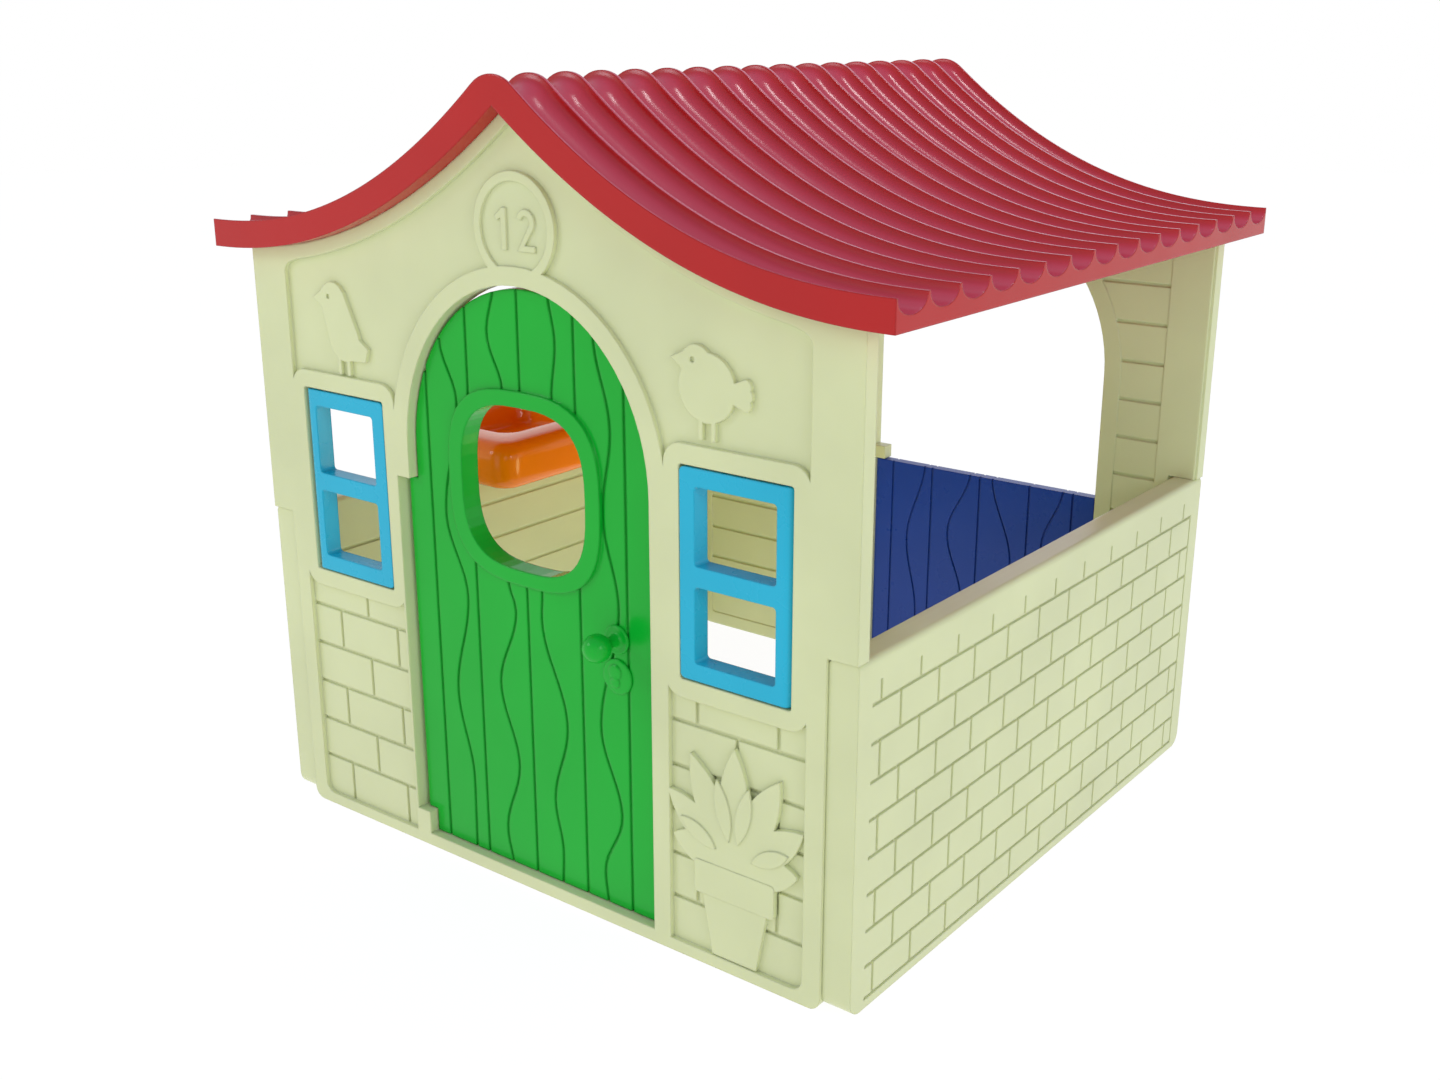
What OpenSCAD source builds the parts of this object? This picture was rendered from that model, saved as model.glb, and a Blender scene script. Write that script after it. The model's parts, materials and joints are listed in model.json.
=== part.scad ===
// Garden playhouse: two gable walls, two half-height side walls and a one-piece tiled roof,
// with a hinged front door, a half-height back door, two casements and a sink tray.
// Millimetres. +Z is up, the front door faces -Y, and the origin is on the ground
// at the centre of the four walls.

/* [House] */
// Width across the outer faces of the side walls
house_w = 1200; // [1160:5:1500]
// Depth between the outer faces of the gable walls
house_d = 1164; // [970:2:1500]
// Height of the half walls
half_wall_h = 540; // [450:5:620]
// Height of the roof's underside at the eaves
eave_h = 986; // [980:2:1200]

/* [Roof] */
// Rise of the roof's underside from the eaves to the ridge
roof_rise = 243; // [200:1:300]
// Thickness of the roof at the eaves
roof_t = 44; // [38:1:55]
// How far the eaves stand out past the side walls
eave_overhang = 57; // [40:1:90]
// How far the roof stands out past the gable walls
gable_overhang = 29; // [15:1:60]
// Number of tile channels along the house
tile_count = 16; // [8:1:20]
// Depth of a tile channel
tile_depth = 24; // [12:1:26]
// Width of the rib between two tile channels
tile_rib = 6; // [4:1:10]

/* [Walls] */
// Thickness of a gable wall's panel, with its raised border
gable_t = 27; // [22:1:40]
// Height of the raised border over the brick field
relief = 8; // [5:1:10]
// Thickness of the plank lining on a gable wall's inner face
lining = 5; // [3:0.5:5.5]
// Height of the rim round a gable wall's inner face
rim = 6.5; // [6:0.5:10]
// Thickness of a side wall
side_t = 48; // [40:1:60]
// Height of a side wall's underside over the ground
side_lift = 5; // [2:1:12]
// How far a side wall's end is set back from the gable wall's face
side_setback = 4.5; // [2:0.5:8]
// Width of the raised border at the sides of a gable wall
border_w = 80; // [60:1:100]
// Width of a moulded groove
groove_w = 6; // [3:0.5:8]
// Depth of a moulded groove
groove_d = 4; // [2:0.5:5]

/* [Front door] */
// Half the width of the doorway
door_half_w = 248; // [220:1:260]
// Height at which the doorway's arch begins
door_spring_h = 700; // [600:5:740]
// Rise of the doorway's arch
door_rise = 278; // [200:1:290]
// Height of the door sill
sill_h = 22; // [12:1:30]
// Thickness of the door leaf
door_t = 29; // [24:1:32]
// Depth of the leaf behind the wall's face
door_inset = 16; // [12:1:20]
// Lower end of the hinge stile
stile_lo = 62; // [50:1:120]
// Upper end of the hinge stile
stile_hi = 650; // [450:5:690]
// Half the width of the leaf's window hole
peep_half = 128; // [80:1:135]
// Height of the window hole's centre
peep_h = 668; // [600:1:680]
// Width of the raised ring round the window hole
peep_ring = 28; // [15:1:32]
// Height of the door knob
knob_h = 472; // [400:1:490]
// Radius of the door knob's ball
knob_r = 22; // [16:1:26]

/* [Back door] */
// Half the width of the back doorway
back_half_w = 252; // [200:1:270]
// Place of the back doorway's middle across the back wall
back_cx = 155; // [100:1:160]
// Height at which the back doorway's arch begins
back_spring_h = 712; // [600:1:740]
// Rise of the back doorway's arch
back_rise = 280; // [200:1:290]
// Height of the back door's top edge
back_door_h = 469; // [350:1:520]
// Thickness of the back door
back_door_t = 22; // [18:1:26]

/* [Casements] */
// Width of a casement
sash_w = 191; // [150:1:200]
// Height of a casement
sash_h = 311; // [250:1:330]
// Height of a casement's lower edge
sash_z = 452; // [430:1:480]
// Thickness of a casement
sash_t = 30; // [26:1:32]
// Width of a casement's frame bars
sash_bar = 26; // [18:1:32]

/* [Sink tray] */
// Size of the tray across the half wall
sink_w = 352; // [300:1:420]
// Size of the tray along the half wall
sink_l = 416; // [320:1:460]
// Height of the tray's rim over the half wall
sink_rise = 61; // [50:1:80]
// How far the tray reaches down past the half wall's top
sink_grip = 28; // [15:1:40]
// Width of the rim across the half wall
sink_rim_w = 75; // [60:1:90]
// Width of the rim along the half wall
sink_rim_l = 84; // [60:1:100]
// Place of the tray's middle along the half wall
sink_y = -13; // [-80:1:80]

/* [Pins and screws] */
// Radius of a hinge pin
pin_r = 5; // [4:0.5:6]
// Radial play of a hinge pin in its bore
pin_play = 0.05; // [0.02:0.01:0.1]
// Radius of a screw's shank
screw_r = 4; // [3:0.5:5]
// Radius of a screw's head
screw_head_r = 9; // [7:0.5:12]

/* [Fits] */
// Gap between fixed mouldings that sit against each other
seat = 0.3; // [0.2:0.05:0.5]
// Gap round a door leaf
leaf_gap = 3; // [2:0.5:5]
// Gap over and under a casement
sash_gap = 3; // [2:0.5:5]

/* [Hidden] */
$fn = 32;

cream = [0.79, 0.82, 0.66];
red = [0.66, 0.17, 0.17];
green = [0.16, 0.68, 0.27];
navy = [0.12, 0.22, 0.48];
blue = [0.2, 0.68, 0.8];
orange = [0.8, 0.38, 0.03];
grey = [0.55, 0.55, 0.52];

hw = house_w / 2;
hd = house_d / 2;
in_x = hw - side_t;            // inner face of a side wall
edge_x = in_x - seat;          // side edge of a gable wall below the half walls' top
roof_hw = hw + eave_overhang;
roof_hd = hd + gable_overhang;
under_pow = 2.15;              // how the roof's underside sweeps up to the ridge
top_rise = roof_rise + 17;
top_pow = 2.23;
crest_r = 60;                  // rounding of the ridge
crest_x = 38;                  // where that rounding begins
eps = 0.5;

function under(x) = eave_h + roof_rise * pow(max(0, 1 - abs(x) / roof_hw), under_pow);
function over_raw(x) = eave_h + roof_t + top_rise * pow(max(0, 1 - abs(x) / roof_hw), top_pow);
function over(x) = abs(x) >= crest_x ? over_raw(x)
    : over_raw(crest_x) + sqrt(crest_r * crest_r - x * x) - sqrt(crest_r * crest_r - crest_x * crest_x);
function arc(cx, cz, r, a0, a1, n = 6) =
    [for (i = [0:n]) let (a = a0 + (a1 - a0) * i / n) [cx + r * cos(a), cz + r * sin(a)]];
// x of each step along a gable's sloping edge, from +w to -w, closer together near the ridge
function slope_xs(w, n = 15) =
    [for (i = [0:2 * n]) let (t = 1 - i / n) w * (t < 0 ? -1 : 1) * pow(abs(t), 1.15)];
function arch(a, b, zc, z0, n = 36) =
    concat([[-a, z0], [a, z0]], [for (i = [0:n]) [a * cos(180 * i / n), zc + b * sin(180 * i / n)]]);
function squircle(cx, cz, a, b, e = 3, n = 48) =
    [for (i = [0:n - 1]) let (c = cos(360 * i / n), s = sin(360 * i / n))
        [cx + a * sign(c) * pow(abs(c), 2 / e), cz + b * sign(s) * pow(abs(s), 2 / e)]];
// Smooth wave through its turning points, each [height, x]
function wave_x(p, z, i = 0) =
    z <= p[i][0] || i == len(p) - 1 ? (i == 0 || z > p[i][0] ? p[i][1]
        : p[i][1] + (p[i - 1][1] - p[i][1])
            * (1 + cos(180 * (z - p[i - 1][0]) / (p[i][0] - p[i - 1][0]))) / 2)
    : wave_x(p, z, i + 1);

// A flat outline in X and Z, given depth from y0 to y1
module slab(y0, y1) {
    translate([0, y1, 0]) rotate([90, 0, 0]) linear_extrude(height = y1 - y0) children();
}
module rounded(x0, z0, x1, z1, r) {
    translate([x0 + r, z0]) square([x1 - x0 - 2 * r, z1 - z0]);
    translate([x0, z0 + r]) square([x1 - x0, z1 - z0 - 2 * r]);
    for (x = [x0 + r, x1 - r], z = [z0 + r, z1 - r]) translate([x, z]) circle(r);
}
module bar(x0, x1, y0, y1, z0, z1) {
    translate([x0, y0, z0]) cube([x1 - x0, y1 - y0, z1 - z0]);
}
module rod_z(x, y, z0, z1, r) {
    translate([x, y, z0]) cylinder(h = z1 - z0, r = r);
}
module rod_x(x0, x1, y, z, r) {
    translate([x0, y, z]) rotate([0, 90, 0]) cylinder(h = x1 - x0, r = r);
}
module rod_y(x, z, y0, y1, r) {
    translate([x, y0, z]) rotate([-90, 0, 0]) cylinder(h = y1 - y0, r = r);
}

// ---- Gable walls, drawn with the outer face at y = 0 and the inside towards +y ----

foot_r = 20;
field_x = hw - border_w;
field_drop = 24;               // border width under the roof's edge
inner_y = gable_t + lining;    // plank face inside
rim_y = gable_t + rim;         // face of the rim inside
rim_w = 26;
ear_inset = 4;                 // step between a gable wall's edge and its inner face
band_w = 32;                   // raised band round a doorway
tab_t = 14;                    // corner tab
tab_d = 50;
tab_h = 40;
tab_zs = [120, half_wall_h - 100];
tab_screw_y = 30;              // screw's distance past the plank face
tab_bore_r = screw_r + 0.2;
roof_tab_x = 330;
roof_tab_w = 40;
roof_tab_h = 55;

module gable_outline() {
    polygon(concat(arc(edge_x - foot_r, foot_r, foot_r, -90, 0),
        [[edge_x, half_wall_h + seat], [hw, half_wall_h + seat]],
        [for (x = slope_xs(hw)) [x, under(x) - seat]],
        [[-hw, half_wall_h + seat], [-edge_x, half_wall_h + seat]],
        arc(-edge_x + foot_r, foot_r, foot_r, 180, 270)));
}
module inset_outline(w, z0, drop, r) {
    polygon(concat(arc(w - r, z0 + r, r, -90, 0), arc(w - r, under(w) - drop - r, r, 0, 70),
        [for (x = slope_xs(w - 1.5 * r)) [x, under(x) - drop]],
        arc(-w + r, under(w) - drop - r, r, 110, 180), arc(-w + r, z0 + r, r, 180, 270)));
}
module corner_tabs() {
    for (s = [-1, 1], z = tab_zs)
        bar(min(s * edge_x, s * (edge_x - tab_t)), max(s * edge_x, s * (edge_x - tab_t)),
            gable_t, inner_y + tab_d, z - tab_h / 2, z + tab_h / 2);
}
module corner_bores() {
    for (s = [-1, 1], z = tab_zs)
        rod_x(s * edge_x - tab_t - 1, s * edge_x + tab_t + 1, inner_y + tab_screw_y, z, tab_bore_r);
}
module roof_tabs() {
    for (s = [-1, 1]) slab(gable_t, inner_y + tab_d) intersection() {
        gable_outline();
        translate([s * roof_tab_x - roof_tab_w / 2, under(roof_tab_x + roof_tab_w / 2) - roof_tab_h])
            square([roof_tab_w, 3 * roof_tab_h]);
    }
}
module roof_bores() {
    for (s = [-1, 1])
        rod_z(s * roof_tab_x, inner_y + tab_screw_y, under(roof_tab_x) - 2 * roof_tab_h,
            under(roof_tab_x) + roof_tab_h, tab_bore_r);
}
plank_pitch = 72;
plank_z = 95.5;                // lowest plank line
plank_top = 75;                // the planks end this far under the roof's edge
plank_end = in_x - rim_w - 4;

// Half the width of an arch of half-width a, rise b and springing height zc at height z
function arch_half(a, b, zc, z) = z > zc ? a * sqrt(max(0, 1 - pow((z - zc) / b, 2))) : a;

module plank_grooves(cx, a, b, zc) {
    for (k = [0:12]) let (z = plank_z + plank_pitch * k, h = arch_half(a, b, zc, z))
        if (z < under(field_x) - plank_top) for (x = [[-plank_end, cx - h], [cx + h, plank_end]])
            bar(x[0], x[1], inner_y - groove_d, inner_y + eps, z - groove_w / 2, z + groove_w / 2);
}
module inner_face() {
    inset_outline(edge_x - 4, 5, 8, foot_r);
}
// Panel, border, lining and rim, before the openings; cx, a, b and zc are the doorway's arch
module gable_body(cx, a, b, zc) {
    slab(relief, gable_t) gable_outline();
    slab(0, relief) difference() {
        gable_outline();
        inset_outline(field_x, foot_r, field_drop, foot_r);
    }
    slab(0, relief) translate([cx, 0]) polygon(arch(a + band_w, b + band_w - 4, zc, 0));
    difference() {
        slab(gable_t, inner_y) inner_face();
        plank_grooves(cx, a + band_w, b + band_w, zc);
    }
    slab(gable_t, rim_y) difference() {
        union() {
            inner_face();
            intersection() {
                gable_outline();
                translate([ear_inset - hw, half_wall_h + seat]) square([2 * (hw - ear_inset), eave_h]);
            }
        }
        inset_outline(edge_x - 4 - rim_w, 5 + rim_w, 8 + rim_w, 8);
    }
    slab(gable_t, rim_y) translate([cx, 0]) polygon(arch(a + band_w, b + band_w - 4, zc, 5));
    corner_tabs();
    roof_tabs();
}

// ---- Front wall ----

win_cx = (door_half_w + band_w - 3 + field_x) / 2;
win_x0 = win_cx - sash_w / 2;          // free edge of the right casement
win_x1 = win_cx + sash_w / 2;          // hinge edge
sash_axis_x = win_x1 - sash_t / 2;
sash_axis_y = sash_t / 2;
win_side_gap = 1.4;
hole_z0 = sash_z - sash_gap;
hole_z1 = sash_z + sash_h + sash_gap;
surround_w = 29;
surround_inset = 27;                   // from the doorway's side to a window surround
surround_r = 30;
door_axis_y = door_inset + door_t / 2;
stile_x = door_half_w + 28;            // edge of the notch for the hinge stile
door_axis_x = -(stile_x - door_t / 2 - 1.5);
knuckle_r = 13;
door_pin_l = 40;                       // pin's length in the leaf
door_pin_in = 30;                      // pin's length in the wall
sash_pin_r = pin_r - 1;
sash_pin_l = 22;
course = 72;
course_z = 91;
brick_l = 143;
left_brick_x = 17 - win_cx;            // middle of the left field's brick joints
brick_end = field_x - 0.1;             // the brick joints stop just inside the border

module window_hole() {
    rounded(win_x0 - win_side_gap, hole_z0, win_x1 + win_side_gap, hole_z1, 5);
}
module window_surround() {
    rounded(door_half_w + surround_inset, hole_z0 - surround_w,
        field_x + 2, hole_z1 + surround_w, surround_r);
}
// Brick joints of one field; a course has one joint in its middle or two beside it
module brick_grooves(x0, x1, cx, first_two) {
    top = hole_z0 - surround_w;
    for (k = [0:4]) bar(x0, x1, relief - eps, relief + groove_d,
        course_z + k * course - groove_w / 2, course_z + k * course + groove_w / 2);
    for (k = [0:5]) let (lo = k == 0 ? foot_r : course_z + (k - 1) * course,
                         hi = min(course_z + k * course, top))
        for (x = (k % 2 == 0) == first_two ? [cx - brick_l / 2, cx + brick_l / 2] : [cx])
            bar(x - groove_w / 2, x + groove_w / 2, relief - eps, relief + groove_d, lo, hi);
}
plate_x = 3;
plate_z = 1060;
plate_r = 80;
plate_foot = 57;                       // the plate's lower edge under its middle
plate_rim = 14;
module plate_shape(inset) {
    translate([plate_x, plate_z]) circle(plate_r - inset, $fn = 48);
    translate([plate_x, plate_z]) polygon([
        [inset * 0.8 - 52, inset - plate_foot], [52 - inset * 0.8, inset - plate_foot],
        [60 - inset, -20], [inset - 60, -20]]);
}
module digit_one() {
    polygon([[-4, 0], [6, 0], [6, 60], [-2, 60], [-16, 48], [-11, 41], [-4, 46]]);
}
module digit_two() {
    polygon(concat([[-17, 0], [18, 0], [18, 9], [-2, 9]], arc(0, 42, 18, -30, 165, 10),
        arc(0, 42, 8.5, 165, -35, 8)));
}
module circle_at(x, z, r) {
    translate([x, z]) circle(r);
}
// A pointed leaf that grows at an angle, from that distance from the origin
module leaf(angle, start, length, width) {
    r = (length * length + width * width) / (4 * width);
    rotate([0, 0, angle]) intersection() {
        translate([start + length / 2, r - width / 2]) circle(r);
        translate([start + length / 2, width / 2 - r]) circle(r);
    }
}
pot_top = 172;
pot_rim = 54;
module pot() {
    polygon([[win_cx - 40, foot_r + 2], [win_cx + 40, foot_r + 2],
             [win_cx + 60, pot_top - pot_rim + 10], [win_cx - 60, pot_top - pot_rim + 10]]);
    rounded(win_cx - 72, pot_top - pot_rim, win_cx + 72, pot_top, 6);
}
module foliage() {
    for (a = [12, 38, 64, 90, 116, 142, 168]) leaf(a, 0, 94 + 96 * sin(a), 54);
    circle(52);
}
module inner_leaves() {
    for (a = [26, 78, 103, 152]) leaf(a, 36, 50 + 48 * sin(a), 26);
}
// Two plain small birds, each with its beak towards -x
module slim_bird(cx, cz) {
    circle_at(cx, cz + 36, 30);
    circle_at(cx + 22, cz - 24, 36);
    polygon([[cx - 28, cz + 28], [cx + 26, cz + 52], [cx + 54, cz - 8], [cx - 10, cz - 42]]);
    polygon([[cx - 24, cz + 52], [cx - 48, cz + 38], [cx - 26, cz + 24]]);
    polygon([[cx + 30, cz - 2], [cx + 78, cz - 34], [cx + 70, cz - 56], [cx + 20, cz - 58]]);
    for (x = [4, 26]) translate([cx + x, cz - 82]) square([7, 36]);
}
module round_bird(cx, cz) {
    circle_at(cx, cz, 48);
    circle_at(cx - 18, cz + 30, 27);
    polygon([[cx - 38, cz + 46], [cx - 62, cz + 36], [cx - 42, cz + 22]]);
    for (a = [-22, 0, 22]) rotate_at(cx + 34, cz - 2, a) rounded(0, -9, 42, 9, 8);
    for (x = [-14, 8]) translate([cx + x, cz - 72]) square([7, 34]);
}
module rotate_at(x, z, angle) {
    translate([x, z]) rotate([0, 0, angle]) children();
}
bird_x = 395;
bird_z = 880;
module wall_reliefs() {
    slab(4.5, relief + 1) plate_shape(0);
    slab(0, relief + 1) difference() {
        plate_shape(0);
        plate_shape(plate_rim);
    }
    slab(1, 5) translate([plate_x - 21, plate_z - 32]) digit_one();
    slab(1, 5) translate([plate_x + 23, plate_z - 32]) digit_two();
    slab(1, relief + 1) pot();
    slab(-1, 2) rounded(win_cx - 72, pot_top - pot_rim, win_cx + 72, pot_top, 6);
    slab(0, relief + 1) translate([win_cx, pot_top + 4]) foliage();
    slab(-2.5, 1) translate([win_cx, pot_top + 10]) inner_leaves();
    difference() {
        slab(1, relief + 1) {
            slim_bird(-bird_x - 12, bird_z);
            round_bird(bird_x - 45, bird_z - 4);
        }
        rod_y(-bird_x - 22, bird_z + 42, -1, 4, 4);
        rod_y(bird_x - 69, bird_z + 32, -1, 4, 4);
    }
}
module front_wall_flat() {
    difference() {
        union() {
            difference() {
                gable_body(0, door_half_w, door_rise, door_spring_h);
                brick_grooves(door_half_w + band_w, brick_end, win_cx, false);
                brick_grooves(-brick_end, -door_half_w - band_w, left_brick_x, true);
            }
            for (s = [0, 1]) mirror([s, 0, 0]) slab(0, relief) window_surround();
            wall_reliefs();
        }
        slab(-eps, rim_y + eps) polygon(arch(door_half_w, door_rise, door_spring_h, sill_h));
        bar(-stile_x, -door_half_w + 1, -eps, rim_y + eps, stile_lo, stile_hi);
        for (s = [0, 1]) mirror([s, 0, 0]) slab(-eps, rim_y + eps) window_hole();
    }
    rod_z(door_axis_x, door_axis_y, sill_h - 5, stile_lo, knuckle_r);
    rod_z(door_axis_x, door_axis_y, stile_hi, stile_hi + 60, knuckle_r);
}
module front_wall() {
    color(cream) translate([0, -hd, 0]) difference() {
        front_wall_flat();
        rod_z(door_axis_x, door_axis_y, stile_lo - door_pin_in - 2, stile_lo + 1, pin_r + pin_play);
        rod_z(door_axis_x, door_axis_y, stile_hi - 1, stile_hi + door_pin_in + 2, pin_r + pin_play);
        for (s = [-1, 1]) {
            rod_z(s * sash_axis_x, sash_axis_y, hole_z1 - 1, hole_z1 + sash_pin_l + 2, sash_pin_r + pin_play);
            rod_z(s * sash_axis_x, sash_axis_y, hole_z0 - sash_pin_l - 2, hole_z0 + 1, sash_pin_r + pin_play);
        }
        corner_bores();
        roof_bores();
    }
}

// ---- Back wall, drawn the same way and then turned to face +Y ----

back_axis_y = 15;                      // hinge axis behind the wall's outer face
back_end_gap = 4;                      // gap beside the back door's ends
arch_x = -back_cx;                     // the doorway's middle in this frame
back_axis_x = arch_x + back_half_w - back_end_gap - back_door_t / 2;
lug_h = 26;
lug_z = back_door_h + 2;

module back_wall_flat() {
    difference() {
        gable_body(arch_x, back_half_w, back_rise, back_spring_h);
        slab(-eps, rim_y + eps) translate([arch_x, 0])
            polygon(arch(back_half_w, back_rise, back_spring_h, sill_h));
        for (k = [0:11]) let (z = course_z + k * course,
                              h = arch_half(back_half_w + band_w, back_rise + band_w - 4, back_spring_h, z))
            if (z < under(field_x) - plank_top)
                for (x = [[-field_x, arch_x - h], [arch_x + h, field_x]])
                    bar(x[0], x[1], relief - eps, relief + groove_d, z - groove_w / 2, z + groove_w / 2);
    }
    // lug over the half door's hinge edge
    bar(back_axis_x - knuckle_r, arch_x + back_half_w + 1, back_axis_y - knuckle_r, back_axis_y + knuckle_r,
        lug_z, lug_z + lug_h);
}
module back_wall() {
    color(cream) rotate([0, 0, 180]) translate([0, -hd, 0]) difference() {
        back_wall_flat();
        rod_z(back_axis_x, back_axis_y, 4, sill_h + 1, pin_r + pin_play);
        rod_z(back_axis_x, back_axis_y, lug_z - 1, lug_z + lug_h - 4, pin_r + pin_play);
        corner_bores();
        roof_bores();
    }
}

// ---- Half-height side walls ----

side_hd = hd - side_setback;
side_corner = 25;
side_edge = 9;
side_course = 57.2;
side_brick = 102.6;
side_line = 5;
side_joint_top = 67;                   // top course's joint line under the wall's top
side_plank_top = 96;                   // highest plank line under the wall's top, inside

side_stub = 32;                        // joints' length over the top course line
side_joint_y = -8;                     // place of one joint in the uppermost row
joints_y = side_hd - 35;               // the brick joints' reach along the wall
joints_z0 = 18.5;                      // and their lower end

// One straight joint line on a side wall's outer face
module side_joint(y0, y1, z0, z1) {
    bar(hw - groove_d, hw + 1, y0, y1, z0, z1);
}
module side_wall() {
    joint_z = half_wall_h - side_joint_top;
    rows = floor((joint_z - 2 * joints_z0) / side_course);
    cols = ceil(joints_y / side_brick);
    difference() {
        intersection() {
            translate([in_x, 0, 0]) rotate([90, 0, 90]) linear_extrude(height = side_t)
                rounded(-side_hd, side_lift, side_hd, half_wall_h + side_corner, side_corner);
            translate([0, side_hd, 0]) rotate([90, 0, 0]) linear_extrude(height = 2 * side_hd) union() {
                translate([in_x, 0]) square([side_t, half_wall_h - side_edge]);
                translate([in_x + side_edge, 0]) square([side_t - 2 * side_edge, half_wall_h]);
                for (x = [in_x + side_edge, hw - side_edge]) translate([x, half_wall_h - side_edge])
                    circle(side_edge);
            }
        }
        // brick joints outside
        for (k = [0:rows]) side_joint(-joints_y, joints_y, joint_z - k * side_course - side_line / 2,
            joint_z - k * side_course + side_line / 2);
        side_joint(-joints_y, joints_y, joints_z0, joints_z0 + side_line);
        side_joint(joints_y - side_line, joints_y, joints_z0, joint_z);
        for (k = [-1:rows]) let (top = k < 0 ? joint_z + side_stub : joint_z - k * side_course,
                                bottom = k == rows ? joints_z0 + 1 : joint_z - (k + 1) * side_course,
                                first = (k + 1) % 2 == 0 ? side_joint_y : side_joint_y + side_brick / 2)
            for (i = [-cols:cols]) let (y = first + i * side_brick)
                if (abs(y) < joints_y - side_line)
                    side_joint(y - side_line / 2, y + side_line / 2, bottom, top);
        // plank lines inside
        for (k = [0:5]) let (z = half_wall_h - side_plank_top - k * plank_pitch) if (z > 60)
            bar(in_x - 1, in_x + groove_d, -side_hd + 50, side_hd - 50, z - groove_w / 2, z + groove_w / 2);
        // screw holes
        for (s = [-1, 1], z = tab_zs)
            rod_x(in_x - 1, in_x + 30, s * (hd - inner_y - tab_screw_y), z, screw_r + pin_play);
    }
}
module right_half_wall() {
    color(cream) side_wall();
}
module left_half_wall() {
    color(cream) mirror([1, 0, 0]) side_wall();
}

// ---- Roof ----

tile_pitch = 2 * roof_hd / tile_count;
tile_half = (tile_pitch - tile_rib) / 2;
// Each tile channel is cut in steps: [share of its half width, share of its depth]
tile_steps = [[1, 0.5], [0.72, 0.88], [0.36, 1]];
roof_flat = 45;                        // width of the nearly level strip at each eave
roof_xs = concat([roof_hw], slope_xs(roof_hw - roof_flat, 9), [-roof_hw]);
function tilt(x) = abs(x) > roof_hw - 1 ? 0 : atan((over(x + 2) - over(x - 2)) / 4);
function sunk(x, d) = over(x) - d / cos(tilt(x));

// Space over the roof's top face sunk by d, between y0 and y1
module tile_cut(d, y0, y1) {
    out = 5;
    slab(y0, y1) polygon(concat(
        [[-roof_hw - out, sunk(roof_hw, d)], [-roof_hw - out, over(0) + out],
         [roof_hw + out, over(0) + out], [roof_hw + out, sunk(roof_hw, d)]],
        [for (x = roof_xs) [x, sunk(x, d)]]));
}
module roof() {
    color(red) difference() {
        slab(-roof_hd, roof_hd) polygon(concat([for (x = roof_xs) [x, over(x)]],
            [for (i = [len(roof_xs) - 1:-1:0]) [roof_xs[i], under(roof_xs[i])]]));
        for (i = [0:tile_count - 1], step = tile_steps) let (y = -roof_hd + (i + 0.5) * tile_pitch)
            tile_cut(step[1] * tile_depth, y - step[0] * tile_half, y + step[0] * tile_half);
        for (sx = [-1, 1], sy = [-1, 1])
            rod_z(sx * roof_tab_x, sy * (hd - inner_y - tab_screw_y), under(roof_tab_x) - 30,
                under(roof_tab_x) + 14, screw_r + pin_play);
    }
}

// ---- Screws ----

module screw(l) {
    cylinder(h = l, r = screw_r);
    translate([0, 0, -4]) difference() {
        rotate_extrude() intersection() {
            translate([0, -5]) circle(screw_head_r + 0.5);
            translate([0, 0]) square([screw_head_r, 4]);
        }
        bar(-1, 1, -6, 6, -1, 1);
    }
    translate([0, 0, -2]) cylinder(h = 2, r = screw_head_r);
}
module corner_screws(side) {
    for (s = [-1, 1], z = tab_zs)
        translate([s * (edge_x - tab_t - 0.2), side * (hd - inner_y - tab_screw_y), z])
            rotate([0, s * 90, 0]) screw(tab_t + 26);
}
module front_corner_screws() {
    color(grey) corner_screws(-1);
}
module back_corner_screws() {
    color(grey) corner_screws(1);
}
module roof_screws() {
    color(grey) for (sx = [-1, 1], sy = [-1, 1])
        translate([sx * roof_tab_x, sy * (hd - inner_y - tab_screw_y),
                   under(roof_tab_x + roof_tab_w / 2) - roof_tab_h - 0.2])
            screw(under(roof_tab_x) - under(roof_tab_x + roof_tab_w / 2) + roof_tab_h + 12);
}

// ---- Sink tray on the left half wall ----

sink_r = 34;
sink_edge = 12;
sink_floor = 6;

module tray_block(w, l, z0, z1, r) {
    translate([0, 0, z0]) linear_extrude(height = z1 - z0) rounded(-w / 2, -l / 2, w / 2, l / 2, r);
}
module sink_tray() {
    top = half_wall_h + sink_rise;
    color(orange) translate([-hw + side_t / 2, sink_y, 0]) difference() {
        union() {
            tray_block(sink_w - 12, sink_l - 12, half_wall_h - sink_grip, top - 2, sink_r - 6);
            tray_block(sink_w, sink_l, half_wall_h - sink_grip + 14, top - sink_edge, sink_r);
            tray_block(sink_w - 16, sink_l - 16, top - sink_edge - 1, top, sink_r - 8);
        }
        tray_block(sink_w - 2 * sink_rim_w, sink_l - 2 * sink_rim_l, half_wall_h + sink_floor, top + 1, 26);
        bar(-side_t / 2 - seat, side_t / 2 + seat, -sink_l, sink_l, 0, half_wall_h + seat);
    }
}

// ---- Front door, drawn in the front wall's frame ----

leaf_hw = door_half_w - leaf_gap;
leaf_y0 = door_inset;
leaf_y1 = door_inset + door_t;
leaf_z0 = sill_h + 2;
stile_gap = 2;
peep_x = -10;
knob_x = 171;
keyhole_z = knob_h - 59;
keyhole_r = 28;
spindle_r = 6;
knob_stem = 46;                         // knob ball's distance from the leaf outside
inner_stem = 40;                        // and inside
ring_proud = 6;                         // height of the window ring over the leaf
ring_drop = 4;                          // the window ring is this much less high than wide
leaf_cx = -12;
leaf_lines = [-203, -110, 0, 110, 203];
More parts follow.
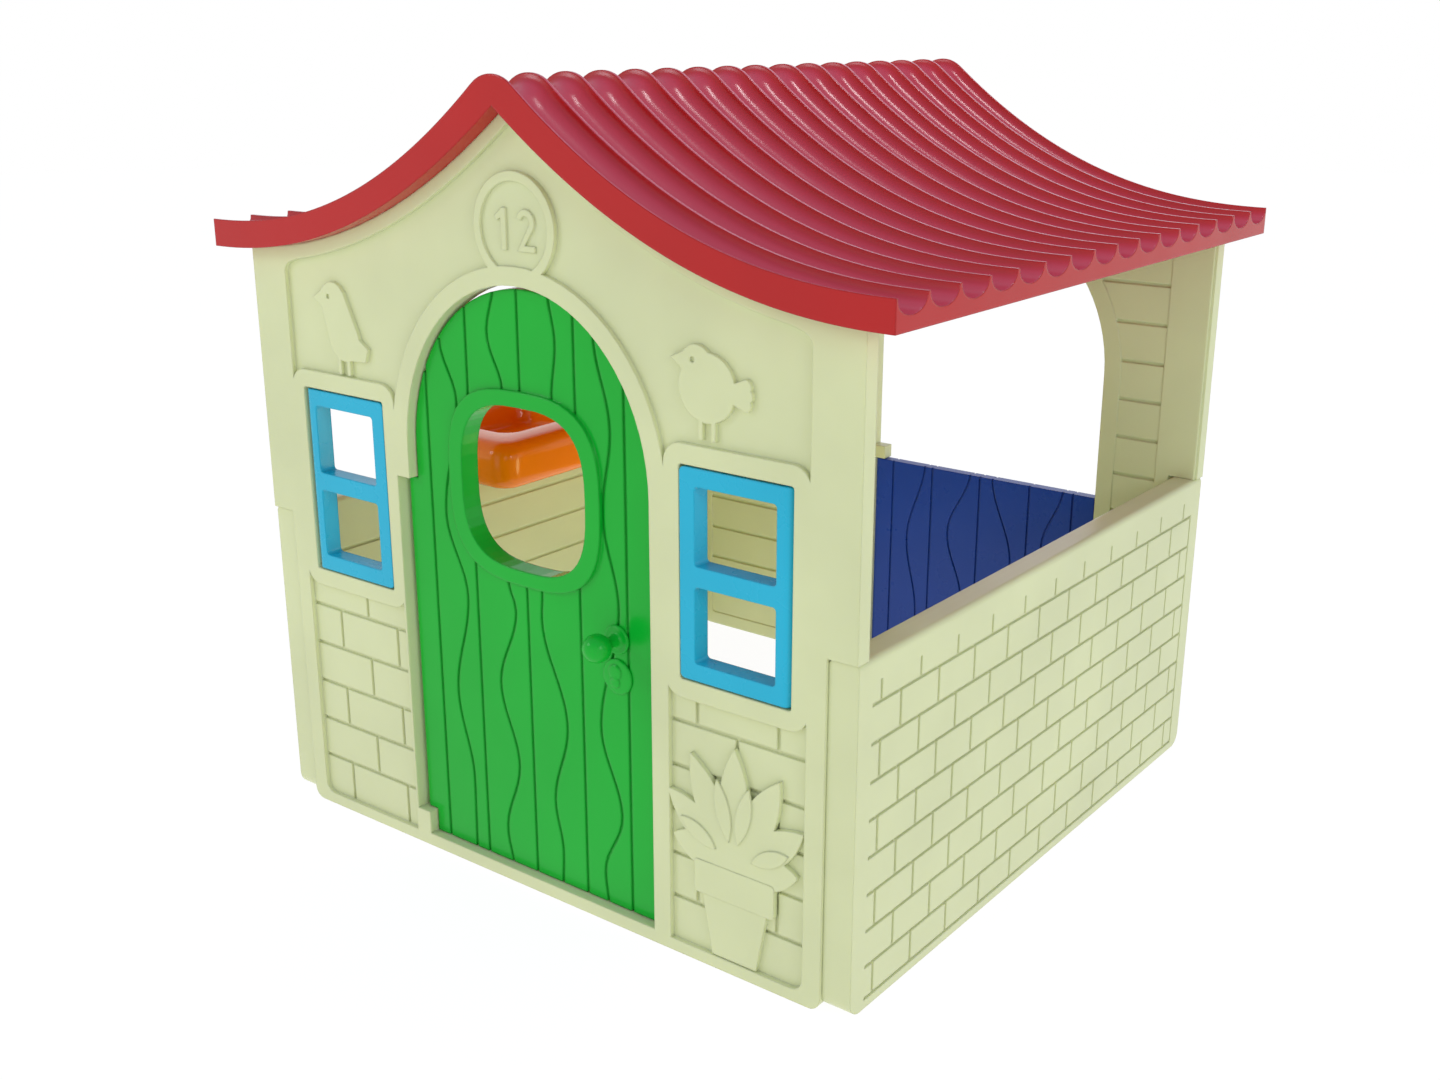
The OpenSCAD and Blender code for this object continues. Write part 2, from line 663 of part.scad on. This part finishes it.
// Turning points of the wavy plank lines, each [height, x]
waves = [
    [[10, -152], [150, -150], [300, -178], [470, -144], [600, -184], [785, -148], [880, -180]],
    [[10, -66], [80, -77], [205, -44], [338, -78], [470, -38], [515, -52]],
    [[815, -48], [900, -76], [980, -58]],
    [[10, 44], [80, 47], [165, 33], [300, 64], [470, 17], [515, 20]],
    [[815, 52], [900, 62], [980, 50]],
    [[10, 142], [75, 136], [180, 173], [320, 134], [520, 174], [660, 146], [785, 164], [925, 136]]];

module wave_groove(p, w, dy0, dy1) {
    n = ceil((p[len(p) - 1][0] - p[0][0]) / 16);
    zs = [for (i = [0:n]) p[0][0] + (p[len(p) - 1][0] - p[0][0]) * i / n];
    slab(dy0, dy1) polygon(concat([for (z = zs) [wave_x(p, z) - w / 2, z]],
        [for (i = [n:-1:0]) [wave_x(p, zs[i]) + w / 2, zs[i]]]));
}
module ring_outline() {
    polygon(squircle(peep_x, peep_h, peep_half + peep_ring, peep_half + peep_ring - ring_drop));
}
module front_door() {
    color(green) translate([0, -hd, 0]) difference() {
        union() {
            slab(leaf_y0, leaf_y1) polygon(arch(leaf_hw, door_rise - 7, door_spring_h, leaf_z0));
            bar(door_axis_x, -leaf_hw + 1, leaf_y0, leaf_y1, stile_lo + stile_gap, stile_hi - stile_gap);
            rod_z(door_axis_x, door_axis_y, stile_lo + stile_gap, stile_hi - stile_gap, door_t / 2);
            slab(leaf_y0 - ring_proud, leaf_y1) ring_outline();
        }
        slab(-50, 90) polygon(squircle(peep_x, peep_h, peep_half, peep_half));
        difference() {
            for (y = [[leaf_y0 - eps, leaf_y0 + groove_d], [leaf_y1 - groove_d, leaf_y1 + eps]]) {
                for (x = leaf_lines) bar(leaf_cx + x - 2.5, leaf_cx + x + 2.5, y[0], y[1], 0, 1000);
                for (p = waves) wave_groove(p, 5, y[0], y[1]);
            }
            slab(-50, 90) ring_outline();
        }
        rod_z(door_axis_x, door_axis_y, stile_lo - 1, stile_lo + stile_gap + door_pin_l, pin_r);
        rod_z(door_axis_x, door_axis_y, stile_hi - stile_gap - door_pin_l, stile_hi + 1, pin_r);
        rod_y(knob_x, knob_h, 0, 90, spindle_r);
    }
}
module front_door_pins() {
    color(grey) translate([0, -hd, 0]) {
        rod_z(door_axis_x, door_axis_y, stile_lo - door_pin_in, stile_lo + stile_gap + door_pin_l, pin_r);
        rod_z(door_axis_x, door_axis_y, stile_lo + seat, stile_lo + stile_gap, pin_r + 4);
        rod_z(door_axis_x, door_axis_y, stile_hi - stile_gap - door_pin_l, stile_hi + door_pin_in, pin_r);
        rod_z(door_axis_x, door_axis_y, stile_hi - stile_gap, stile_hi - seat, pin_r + 4);
    }
}
// A ball on a stem and a round base, with its back face at z = 0 and a blind socket for the spindle
module knob(stem) {
    difference() {
        union() {
            cylinder(h = 5, r = knob_r + 1);
            cylinder(h = stem, r = knob_r * 0.45);
            translate([0, 0, stem]) sphere(knob_r, $fn = 48);
        }
        translate([0, 0, -1]) cylinder(h = stem * 0.5 + 1, r = spindle_r);
    }
}
module door_knob() {
    color(green) translate([knob_x, -hd + leaf_y0, knob_h]) rotate([90, 0, 0]) knob(knob_stem);
}
module inner_knob() {
    color(green) translate([knob_x, -hd + leaf_y1, knob_h]) rotate([-90, 0, 0]) knob(inner_stem);
}
module knob_spindle() {
    color(grey) rod_y(knob_x, knob_h, -hd + leaf_y0 - knob_stem / 2 + 1,
        -hd + leaf_y1 + inner_stem / 2 - 1, spindle_r);
}
module keyhole_plate() {
    color(green) translate([0, -hd, 0]) {
        rod_y(knob_x, keyhole_z, leaf_y0 - 4, leaf_y0, keyhole_r);
        rod_y(knob_x - 3, keyhole_z + 7, leaf_y0 - 7, leaf_y0, 12);
        rod_y(knob_x - 3, keyhole_z - 9, leaf_y0 - 7, leaf_y0, 9);
    }
}

// ---- Back door, drawn in the back wall's frame and turned with it ----

back_y0 = back_axis_y - back_door_t / 2;
// Turning points of its wavy lines, each [height, distance from the doorway's middle towards +X]
back_waves = [
    [[10, -135], [150, -138], [310, -165], [480, -127]],
    [[10, -35], [200, -31], [340, -69], [480, -21]],
    [[10, 45], [180, 50], [300, 77], [480, 27]],
    [[10, 155], [180, 175], [350, 143], [480, 183]]];

module back_door() {
    color(navy) rotate([0, 0, 180]) translate([0, -hd, 0]) difference() {
        union() {
            bar(arch_x - back_half_w + back_end_gap, back_axis_x, back_y0, back_y0 + back_door_t,
                sill_h + 3, back_door_h);
            rod_z(back_axis_x, back_axis_y, sill_h + 3, back_door_h, back_door_t / 2);
        }
        for (y = [[back_y0 - eps, back_y0 + groove_d],
                  [back_y0 + back_door_t - groove_d, back_y0 + back_door_t + eps]]) {
            for (x = leaf_lines) bar(arch_x + x - 2, arch_x + x + 2, y[0], y[1], 0, back_door_h + 20);
            for (p = back_waves) translate([arch_x, 0, 0]) mirror([1, 0, 0]) wave_groove(p, 4, y[0], y[1]);
        }
        rod_z(back_axis_x, back_axis_y, 0, sill_h + 3 + door_pin_l, pin_r);
        rod_z(back_axis_x, back_axis_y, back_door_h - door_pin_l, back_door_h + 1, pin_r);
    }
}
module back_door_pins() {
    color(grey) rotate([0, 0, 180]) translate([0, -hd, 0]) {
        rod_z(back_axis_x, back_axis_y, 6, sill_h + 3 + door_pin_l, pin_r);
        rod_z(back_axis_x, back_axis_y, sill_h + seat, sill_h + 3, pin_r + 3.5);
        rod_z(back_axis_x, back_axis_y, back_door_h - door_pin_l, lug_z + lug_h - 6, pin_r);
        rod_z(back_axis_x, back_axis_y, back_door_h, lug_z - seat, pin_r + 3.5);
    }
}

// ---- Casements, the right one; the left one is its mirror image ----

module casement() {
    mid = sash_z + sash_h / 2;
    translate([0, -hd, 0]) difference() {
        intersection() {
            union() {
                bar(win_x0, sash_axis_x, 0, sash_t, sash_z, sash_z + sash_h);
                rod_z(sash_axis_x, sash_axis_y, sash_z, sash_z + sash_h, sash_t / 2);
            }
            slab(-1, sash_t + 1) rounded(win_x0, sash_z, win_x1, sash_z + sash_h, 8);
        }
        slab(-1, sash_t + 1) {
            rounded(win_x0 + sash_bar, sash_z + sash_bar, win_x1 - sash_bar, mid - 15, 6);
            rounded(win_x0 + sash_bar, mid + 15, win_x1 - sash_bar, sash_z + sash_h - sash_bar, 6);
        }
        rod_z(sash_axis_x, sash_axis_y, sash_z - 1, sash_z + sash_pin_l, sash_pin_r);
        rod_z(sash_axis_x, sash_axis_y, sash_z + sash_h - sash_pin_l, sash_z + sash_h + 1, sash_pin_r);
    }
}
module casement_pins() {
    translate([0, -hd, 0]) {
        rod_z(sash_axis_x, sash_axis_y, hole_z0 - sash_pin_l, sash_z + sash_pin_l, sash_pin_r);
        rod_z(sash_axis_x, sash_axis_y, hole_z0 + seat, sash_z, sash_pin_r + 5);
        rod_z(sash_axis_x, sash_axis_y, sash_z + sash_h - sash_pin_l, hole_z1 + sash_pin_l, sash_pin_r);
        rod_z(sash_axis_x, sash_axis_y, sash_z + sash_h, hole_z1 - seat, sash_pin_r + 5);
    }
}
module right_casement() {
    color(blue) casement();
}
module right_casement_pins() {
    color(blue) casement_pins();
}
module left_casement() {
    color(blue) mirror([1, 0, 0]) casement();
}
module left_casement_pins() {
    color(blue) mirror([1, 0, 0]) casement_pins();
}

front_wall();
back_wall();
left_half_wall();
right_half_wall();
roof();
front_corner_screws();
back_corner_screws();
roof_screws();
sink_tray();
front_door();
front_door_pins();
door_knob();
inner_knob();
knob_spindle();
keyhole_plate();
back_door();
back_door_pins();
left_casement();
left_casement_pins();
right_casement();
right_casement_pins();
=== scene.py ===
"""The looks of the garden playhouse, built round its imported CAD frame. Metres, the frame's axes."""

import json
import math

import bmesh
import bpy
from mathutils import Euler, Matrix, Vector


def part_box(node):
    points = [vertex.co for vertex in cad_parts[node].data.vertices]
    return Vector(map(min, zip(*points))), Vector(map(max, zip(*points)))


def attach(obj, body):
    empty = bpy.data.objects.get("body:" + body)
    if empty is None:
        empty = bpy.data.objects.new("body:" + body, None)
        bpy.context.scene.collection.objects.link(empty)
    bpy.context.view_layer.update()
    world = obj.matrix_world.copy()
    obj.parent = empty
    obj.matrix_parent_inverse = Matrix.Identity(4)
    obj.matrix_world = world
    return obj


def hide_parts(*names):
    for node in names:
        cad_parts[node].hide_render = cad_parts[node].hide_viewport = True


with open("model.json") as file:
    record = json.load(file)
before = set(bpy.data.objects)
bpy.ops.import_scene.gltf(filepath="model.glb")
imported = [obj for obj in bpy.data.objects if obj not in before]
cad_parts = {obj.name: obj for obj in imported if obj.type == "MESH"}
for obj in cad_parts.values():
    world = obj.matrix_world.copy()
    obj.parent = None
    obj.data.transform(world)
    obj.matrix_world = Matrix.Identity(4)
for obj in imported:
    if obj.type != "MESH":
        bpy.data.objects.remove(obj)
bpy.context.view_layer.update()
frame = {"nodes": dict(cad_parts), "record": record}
nodes = frame["nodes"]


# ---- Moulded plastic materials ----

TINT = 0.05                            # how far the colour wanders, as a share
CLOUD_SCALE, BLOTCH_SCALE = 3.5, 18.0  # noise scales of the tint and of the gloss, per metre
WAVE_SCALE, WAVE_H = 9.0, 0.0012       # slow ripples of a large moulding
SKIN_SCALE, SKIN_H = 420.0, 0.00004    # fine skin of the mould
GLOW_DEPTH = 0.008                     # how far light spreads inside the plastic


def plastic(name, colour, roughness, edge, gloss=0.3, sky_sheen=None, glow=0.0):
    """Moulded polyethylene: soft edges of radius edge, a faint uneven tint, slow ripples and a fine skin.
    Faces that look up at the sky turn to the colour sky_sheen, where it is given: a painted reflection of
    the cool sky."""
    mat = bpy.data.materials.new(name)
    mat.use_nodes = True
    nt = mat.node_tree
    nt.nodes.clear()
    make, link = nt.nodes.new, nt.links.new
    out = make("ShaderNodeOutputMaterial")
    shader = make("ShaderNodeBsdfPrincipled")
    shader.inputs["Specular IOR Level"].default_value = gloss
    shader.inputs["Subsurface Weight"].default_value = glow
    shader.inputs["Subsurface Radius"].default_value = (1.0, 0.9, 0.5)
    shader.inputs["Subsurface Scale"].default_value = GLOW_DEPTH
    link(shader.outputs["BSDF"], out.inputs["Surface"])
    place = make("ShaderNodeTexCoord")

    def noise(scale, detail):
        node = make("ShaderNodeTexNoise")
        node.inputs["Scale"].default_value = scale
        node.inputs["Detail"].default_value = detail
        link(place.outputs["Object"], node.inputs["Vector"])
        return node.outputs["Fac"]

    def bump(height, distance, normal):
        node = make("ShaderNodeBump")
        node.inputs["Strength"].default_value = 1.0
        node.inputs["Distance"].default_value = distance
        link(height, node.inputs["Height"])
        link(normal, node.inputs["Normal"])
        return node.outputs["Normal"]

    ramp = make("ShaderNodeValToRGB")
    dark = [c * (1 - TINT) for c in colour]
    light = [min(1.0, c * (1 + TINT * 0.6)) for c in colour]
    for stop, position, shade in zip(ramp.color_ramp.elements, (0.35, 0.65), (dark, light)):
        stop.position = position
        stop.color = (*shade, 1)
    link(noise(CLOUD_SCALE, 3.0), ramp.inputs["Fac"])
    if sky_sheen is None:
        link(ramp.outputs["Color"], shader.inputs["Base Color"])
    else:
        # painted reflection: faces turned up are mixed towards a paler, cooler colour that stands in for
        # the sky reflected in them
        facing = make("ShaderNodeSeparateXYZ")
        link(place.outputs["Normal"], facing.inputs["Vector"])
        sky = make("ShaderNodeMapRange")
        sky.inputs["From Min"].default_value = 0.15
        sky.inputs["From Max"].default_value = 0.75
        link(facing.outputs["Z"], sky.inputs["Value"])
        sky_sheen_mix = make("ShaderNodeMix")
        sky_sheen_mix.data_type = "RGBA"
        sky_sheen_mix.inputs["B"].default_value = (*sky_sheen, 1)
        link(sky.outputs["Result"], sky_sheen_mix.inputs["Factor"])
        link(ramp.outputs["Color"], sky_sheen_mix.inputs["A"])
        link(sky_sheen_mix.outputs["Result"], shader.inputs["Base Color"])

    span = make("ShaderNodeMapRange")
    span.inputs["To Min"].default_value = roughness - 0.05
    span.inputs["To Max"].default_value = roughness + 0.06
    link(noise(BLOTCH_SCALE, 4.0), span.inputs["Value"])
    link(span.outputs["Result"], shader.inputs["Roughness"])

    rounding = make("ShaderNodeBevel")
    rounding.samples = 6
    rounding.inputs["Radius"].default_value = edge
    slow = bump(noise(WAVE_SCALE, 1.0), WAVE_H, rounding.outputs["Normal"])
    fine = bump(noise(SKIN_SCALE, 2.0), SKIN_H, slow)
    link(fine, shader.inputs["Normal"])
    return mat


finishes = {
    "cream_plastic": plastic("cream_plastic", (0.66, 0.70, 0.400), 0.30, 0.004, gloss=0.28, glow=0.25),
    # the roof's upward faces get a painted sky reflection, a paler and bluer red
    "red_plastic": plastic("red_plastic", (0.46, 0.008, 0.008), 0.22, 0.004, gloss=0.32,
                           sky_sheen=(0.515, 0.050, 0.084)),
    "green_plastic": plastic("green_plastic", (0.003, 0.42, 0.027), 0.20, 0.005, gloss=0.26),
    "navy_plastic": plastic("navy_plastic", (0.008, 0.047, 0.34), 0.28, 0.003),
    "blue_plastic": plastic("blue_plastic", (0.012, 0.43, 0.62), 0.27, 0.004),
    "orange_plastic": plastic("orange_plastic", (0.97, 0.225, 0.0005), 0.13, 0.005, gloss=0.32),
    "grey_plastic": plastic("grey_plastic", (0.26, 0.26, 0.24), 0.42, 0.001),
}
for part in frame["record"]["subparts"]:
    shown = nodes[part["node"]]
    shown.data.materials.clear()
    shown.data.materials.append(finishes[part["material_slot"]])


# ---- Roof: the CAD solid's profile with smooth half-round tile channels ----

ROOF_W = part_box("roof")[1].x
ROOF_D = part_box("roof")[1].y
EAVE_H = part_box("roof")[0].z
EAVE_T = 0.044                         # thickness at the eaves
UNDER_RISE, UNDER_POWER = 0.243, 2.15  # sweep of the underside
TOP_RISE, TOP_POWER = 0.260, 2.23      # sweep of the top
CREST_R, CREST_X = 0.060, 0.038        # round ridge, and where it meets the sweep
TILES = 16
TILE_DEPTH = 0.024
RIB = 0.006                            # flat left between two channels


def under(x):
    return EAVE_H + UNDER_RISE * max(0.0, 1 - abs(x) / ROOF_W) ** UNDER_POWER


def sweep(x):
    return EAVE_H + EAVE_T + TOP_RISE * max(0.0, 1 - abs(x) / ROOF_W) ** TOP_POWER


def over(x):
    if abs(x) >= CREST_X:
        return sweep(x)
    return sweep(CREST_X) + math.sqrt(CREST_R**2 - x * x) - math.sqrt(CREST_R**2 - CREST_X**2)


def tile_sections():
    """(y, depth) along the house: flat ribs with a half-round channel between each two."""
    pitch = 2 * ROOF_D / TILES
    half = (pitch - RIB) / 2
    steps = 14
    rows = [(-ROOF_D, 0.0)]
    for i in range(TILES):
        mid = -ROOF_D + (i + 0.5) * pitch
        for k in range(steps + 1):
            angle = math.pi * k / steps
            rows.append((mid - half * math.cos(angle), TILE_DEPTH * math.sin(angle) ** 0.9))
    rows.append((ROOF_D, 0.0))
    return rows


def roof_mesh():
    mesh = bmesh.new()
    stations = 96
    # closer together towards the ridge, where the profile turns quickly
    xs = [ROOF_W * math.copysign(abs(t) ** 1.35, t) for t in
          (1 - 2 * i / stations for i in range(stations + 1))]
    rows = tile_sections()
    top, bottom = [], []
    for y, depth in rows:
        line = []
        for x in xs:
            slope = (over(x + 0.001) - over(x - 0.001)) / 0.002 if abs(x) < ROOF_W - 0.001 else 0.0
            line.append(mesh.verts.new((x, y, over(x) - depth * math.sqrt(1 + slope * slope))))
        top.append(line)
    for y in (-ROOF_D, ROOF_D):
        bottom.append([mesh.verts.new((x, y, under(x))) for x in xs])
    for a, b in zip(top, top[1:]):
        for i in range(stations):
            mesh.faces.new((a[i], a[i + 1], b[i + 1], b[i]))
    for i in range(stations):
        mesh.faces.new((bottom[0][i + 1], bottom[0][i], bottom[1][i], bottom[1][i + 1]))
        mesh.faces.new((top[0][i + 1], top[0][i], bottom[0][i], bottom[0][i + 1]))
        mesh.faces.new((top[-1][i], top[-1][i + 1], bottom[1][i + 1], bottom[1][i]))
    mesh.faces.new([line[0] for line in top] + [bottom[1][0], bottom[0][0]])
    mesh.faces.new([line[-1] for line in reversed(top)] + [bottom[0][-1], bottom[1][-1]])
    bmesh.ops.recalc_face_normals(mesh, faces=mesh.faces)
    return mesh


def add_piece(name, mesh, body, slot, smooth_deg=40):
    data = bpy.data.meshes.new(name)
    mesh.to_mesh(data)
    mesh.free()
    piece = bpy.data.objects.new(name, data)
    bpy.context.scene.collection.objects.link(piece)
    data.shade_smooth()
    data.set_sharp_from_angle(angle=math.radians(smooth_deg))
    data.materials.append(finishes[slot])
    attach(piece, body)
    return piece


roof = add_piece("tiled_roof", roof_mesh(), "house", "red_plastic")
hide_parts("roof")


# ---- Sink tray: soft edges round the same rim and basin ----

SINK_LO, SINK_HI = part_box("sink_tray")
WALL_LO, WALL_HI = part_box("left_half_wall")
SEAT = 0.0003                          # gap between the tray and the wall under it
RIM_X, RIM_Y = 0.075, 0.084            # rim widths across and along the wall
BASIN_FLOOR = WALL_HI.z + 0.006
PLAN_R = 0.045                         # corners seen from above
CREST_ROLL, FOOT_R = 0.030, 0.026      # rolled top and bottom edges


def rounded_loop(mesh, half_x, half_y, z, radius, centre, steps=8):
    """One ring of vertices round a rectangle with round corners."""
    ring = []
    for quarter, (sx, sy) in enumerate(((1, 1), (-1, 1), (-1, -1), (1, -1))):
        for k in range(steps + 1):
            angle = math.pi / 2 * (quarter + k / steps)
            ring.append(mesh.verts.new((
                centre.x + sx * (half_x - radius) + radius * math.cos(angle),
                centre.y + sy * (half_y - radius) + radius * math.sin(angle), z)))
    return ring


def skin(mesh, rings):
    """Quads between each ring and the next."""
    for a, b in zip(rings, rings[1:]):
        count = len(a)
        for i in range(count):
            j = (i + 1) % count
            mesh.faces.new((a[i], a[j], b[j], b[i]))


def sink_mesh():
    mesh = bmesh.new()
    centre = (SINK_LO + SINK_HI) / 2
    half = (SINK_HI - SINK_LO) / 2
    top, foot = SINK_HI.z, SINK_LO.z
    turns = [math.pi / 2 * k / 7 for k in range(8)]
    outside = [(FOOT_R * (1 - math.sin(a)), foot + FOOT_R * (1 - math.cos(a))) for a in turns]
    outside += [(CREST_ROLL * (1 - math.cos(a)), top - CREST_ROLL * (1 - math.sin(a))) for a in turns]
    rings = [rounded_loop(mesh, half.x - inset, half.y - inset, z, PLAN_R - inset * 0.8, centre)
             for inset, z in outside]
    lip = [(-0.010, 0.0002), (-0.004, 0.0016), (-0.0008, 0.0050), (0.001, 0.011)]
    hollow = [(0.004, 0.014), (0.007, 0.006), (0.013, 0.0015), (0.022, 0.0)]
    inside = [(inset, top - drop) for inset, drop in lip]
    inside += [(inset, BASIN_FLOOR + rise) for inset, rise in hollow]
    rings += [rounded_loop(mesh, half.x - RIM_X - inset, half.y - RIM_Y - inset, z,
                           0.030 - inset * 0.7, centre) for inset, z in inside]
    skin(mesh, rings)
    mesh.faces.new(list(reversed(rings[0])))
    mesh.faces.new(rings[-1])
    bmesh.ops.recalc_face_normals(mesh, faces=mesh.faces)
    return mesh


def cut_box(piece, lo, hi):
    """Takes a box out of a piece's mesh."""
    tool = bmesh.new()
    bmesh.ops.create_cube(tool, size=1)
    for v in tool.verts:
        v.co = [(a + b) / 2 + c * (b - a) for a, b, c in zip(lo, hi, v.co)]
    data = bpy.data.meshes.new("cutter")
    tool.to_mesh(data)
    tool.free()
    cutter = bpy.data.objects.new("cutter", data)
    bpy.context.scene.collection.objects.link(cutter)
    cut = piece.modifiers.new("slot", "BOOLEAN")
    cut.operation = "DIFFERENCE"
    cut.object = cutter
    bpy.context.view_layer.update()
    shaped = bpy.data.meshes.new_from_object(piece.evaluated_get(bpy.context.evaluated_depsgraph_get()))
    piece.modifiers.clear()
    piece.data = shaped
    bpy.data.objects.remove(cutter)


sink = add_piece("sink_moulding", sink_mesh(), "house", "orange_plastic")
cut_box(sink, (WALL_LO.x - SEAT, SINK_LO.y - 0.1, 0),
        (WALL_HI.x + SEAT, SINK_HI.y + 0.1, WALL_HI.z + SEAT))
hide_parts("sink_tray")


# ---- Window frames: the CAD shape with rolled edges ----

def softened(name, node, body, slot, radius):
    """The node's own shape with its edges rolled off."""
    mesh = bmesh.new()
    mesh.from_mesh(nodes[node].data)
    bmesh.ops.remove_doubles(mesh, verts=mesh.verts, dist=1e-6)
    bmesh.ops.dissolve_limit(mesh, angle_limit=math.radians(1), verts=mesh.verts, edges=mesh.edges)
    piece = add_piece(name, mesh, body, slot, smooth_deg=30)
    soft = piece.modifiers.new("soft_edges", "BEVEL")
    soft.width = radius
    soft.segments = 4
    soft.limit_method = "ANGLE"
    soft.angle_limit = math.radians(40)
    soft.harden_normals = True
    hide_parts(node)


for side in ("left", "right"):
    softened(side + "_window_frame", side + "_casement", side + "_sash", "blue_plastic", 0.0035)


# ---- Door furniture, turned about the knob's axis ----

def turned(mesh, profile, base, outward, steps=48):
    """A closed lathe body about Y. The profile is (radius, distance from base), from the centre out."""
    rings = []
    for radius, along in profile[1:-1]:
        rings.append([mesh.verts.new((base.x + radius * math.cos(t), base.y + outward * along,
                                      base.z + radius * math.sin(t)))
                      for t in (2 * math.pi * k / steps for k in range(steps))])
    skin(mesh, rings)
    for (_, along), ring in ((profile[0], rings[0]), (profile[-1], rings[-1])):
        tip = mesh.verts.new((base.x, base.y + outward * along, base.z))
        for i in range(steps):
            mesh.faces.new((ring[i], ring[(i + 1) % steps], tip))


NECK = 0.0088                          # radius of the knob's stem


def knob_profile(reach, ball):
    """Round base with a raised lip, a waisted stem and a ball that ends at reach."""
    middle = reach - ball
    lip = [(0.0, 0.0), (0.0228, 0.0), (0.0230, 0.0025), (0.0220, 0.0046), (0.0200, 0.0050),
           (0.0182, 0.0040), (0.0125, 0.0036), (0.0104, 0.0050), (NECK + 0.0006, 0.0085), (NECK, 0.0150)]
    start = math.asin(NECK * 1.12 / ball)
    arc = [start + (math.pi - start) * k / 18 for k in range(19)]
    return lip + [(ball * math.sin(a), middle - ball * math.cos(a)) for a in arc]


def knob(name, node, outward):
    lo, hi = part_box(node)
    ball = (hi.x - lo.x) / 2 - 0.001
    base = Vector(((lo.x + hi.x) / 2, hi.y if outward < 0 else lo.y, (lo.z + hi.z) / 2))
    mesh = bmesh.new()
    turned(mesh, knob_profile(hi.y - lo.y, ball), base, outward)
    bmesh.ops.recalc_face_normals(mesh, faces=mesh.faces)
    piece = add_piece(name, mesh, "front_leaf", "green_plastic", smooth_deg=60)
    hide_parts(node)


def dome(reach, radius, edge, rise):
    """Profile of a disc with a round shoulder and a slightly crowned face."""
    shoulder = [(radius - edge * (1 - math.cos(a)), reach - edge * (1 - math.sin(a)))
                for a in (math.pi / 2 * k / 5 for k in range(6))]
    crown = [(radius * 0.5, reach + rise * 0.75), (0.0, reach + rise)]
    return [(0.0, 0.0), (radius, 0.0)] + shoulder + crown


def keyhole():
    lo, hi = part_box("keyhole_plate")
    base = Vector(((lo.x + hi.x) / 2, hi.y, (lo.z + hi.z) / 2))
    mesh = bmesh.new()
    turned(mesh, dome(0.0035, (hi.x - lo.x) / 2, 0.0018, 0.0004), base, -1)
    for dz, radius in ((0.007, 0.012), (-0.009, 0.009)):
        turned(mesh, dome(0.0064, radius, 0.0020, 0.0005), base + Vector((-0.003, 0, dz)), -1)
    bmesh.ops.recalc_face_normals(mesh, faces=mesh.faces)
    piece = add_piece("keyhole_escutcheon", mesh, "front_leaf", "green_plastic")
    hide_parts("keyhole_plate")


knob("outer_knob", "door_knob", -1)
knob("inside_knob", "inner_knob", 1)
keyhole()


# ---- Stage: floor, light and camera ----

KEY_COLOUR = (0.86, 0.93, 1.0)
LENS = 40.05                           # on a 36 mm sensor
CAMERA_AT = (1.636, -2.2173, 1.3367)
CAMERA_TILT, CAMERA_PAN = 72.113, 37.661


def area_light(name, place, target, size, power, colour=(1, 1, 1)):
    lamp = bpy.data.lights.new(name, "AREA")
    lamp.shape = "DISK"
    lamp.size = size
    lamp.energy = power
    lamp.color = colour
    holder = bpy.data.objects.new(name, lamp)
    bpy.context.scene.collection.objects.link(holder)
    holder.visible_camera = False
    holder.location = place
    holder.rotation_euler = (Vector(target) - Vector(place)).to_track_quat("-Z", "Y").to_euler()


def studio():
    """White at eye level, softer and cooler overhead, with five soft lamps that the camera doesn't see."""
    bpy.context.scene.view_settings.view_transform = "Standard"
    world = bpy.data.worlds.new("studio")
    bpy.context.scene.world = world
    world.use_nodes = True
    nt = world.node_tree
    back = nt.nodes["Background"]
    place = nt.nodes.new("ShaderNodeTexCoord")
    split = nt.nodes.new("ShaderNodeSeparateXYZ")
    ramp = nt.nodes.new("ShaderNodeValToRGB")
    horizon, zenith = ramp.color_ramp.elements
    horizon.position, horizon.color = 0.15, (1.0, 1.0, 1.0, 1)
    zenith.position, zenith.color = 0.75, (0.48, 0.52, 0.66, 1)
    nt.links.new(place.outputs["Generated"], split.inputs["Vector"])
    nt.links.new(split.outputs["Z"], ramp.inputs["Fac"])
    nt.links.new(ramp.outputs["Color"], back.inputs["Color"])
    area_light("key_light", (-2.2, -3.0, 2.6), (0, -0.2, 0.6), 0.9, 17, KEY_COLOUR)
    area_light("side_light", (3.6, -1.6, 1.9), (0, 0, 0.5), 0.9, 17, KEY_COLOUR)
    area_light("ridge_light", (0.6, 0.2, 3.2), (0, 0, 1.0), 0.35, 9)
    area_light("back_light", (-0.6, 4.0, 2.9), (0, 0, 1.0), 3.0, 16, (0.72, 0.80, 1.0))
    area_light("inner_light", (0.25, 0.0, 0.42), (-0.5, 0.2, 0.25), 0.25, 1.0, (1.0, 0.92, 0.42))


def ground():
    disc = bmesh.new()
    bmesh.ops.create_circle(disc, cap_ends=True, segments=64, radius=14)
    data = bpy.data.meshes.new("floor")
    disc.to_mesh(data)
    disc.free()
    floor = bpy.data.objects.new("floor", data)
    bpy.context.scene.collection.objects.link(floor)
    paint = bpy.data.materials.new("floor_paint")
    paint.use_nodes = True
    shader = paint.node_tree.nodes["Principled BSDF"]
    shader.inputs["Base Color"].default_value = (0.10, 0.10, 0.10, 1)
    shader.inputs["Roughness"].default_value = 1.0
    shader.inputs["Specular IOR Level"].default_value = 0.0
    shader.inputs["Emission Color"].default_value = (1.0, 1.0, 1.0, 1)
    shader.inputs["Emission Strength"].default_value = 0.94
    data.materials.append(paint)


def camera():
    lens = bpy.data.cameras.new("camera")
    lens.sensor_width = 36
    lens.lens = LENS
    holder = bpy.data.objects.new("camera", lens)
    bpy.context.scene.collection.objects.link(holder)
    holder.location = CAMERA_AT
    holder.rotation_euler = Euler((math.radians(CAMERA_TILT), 0, math.radians(CAMERA_PAN)))
    bpy.context.scene.camera = holder


studio()
ground()
camera()
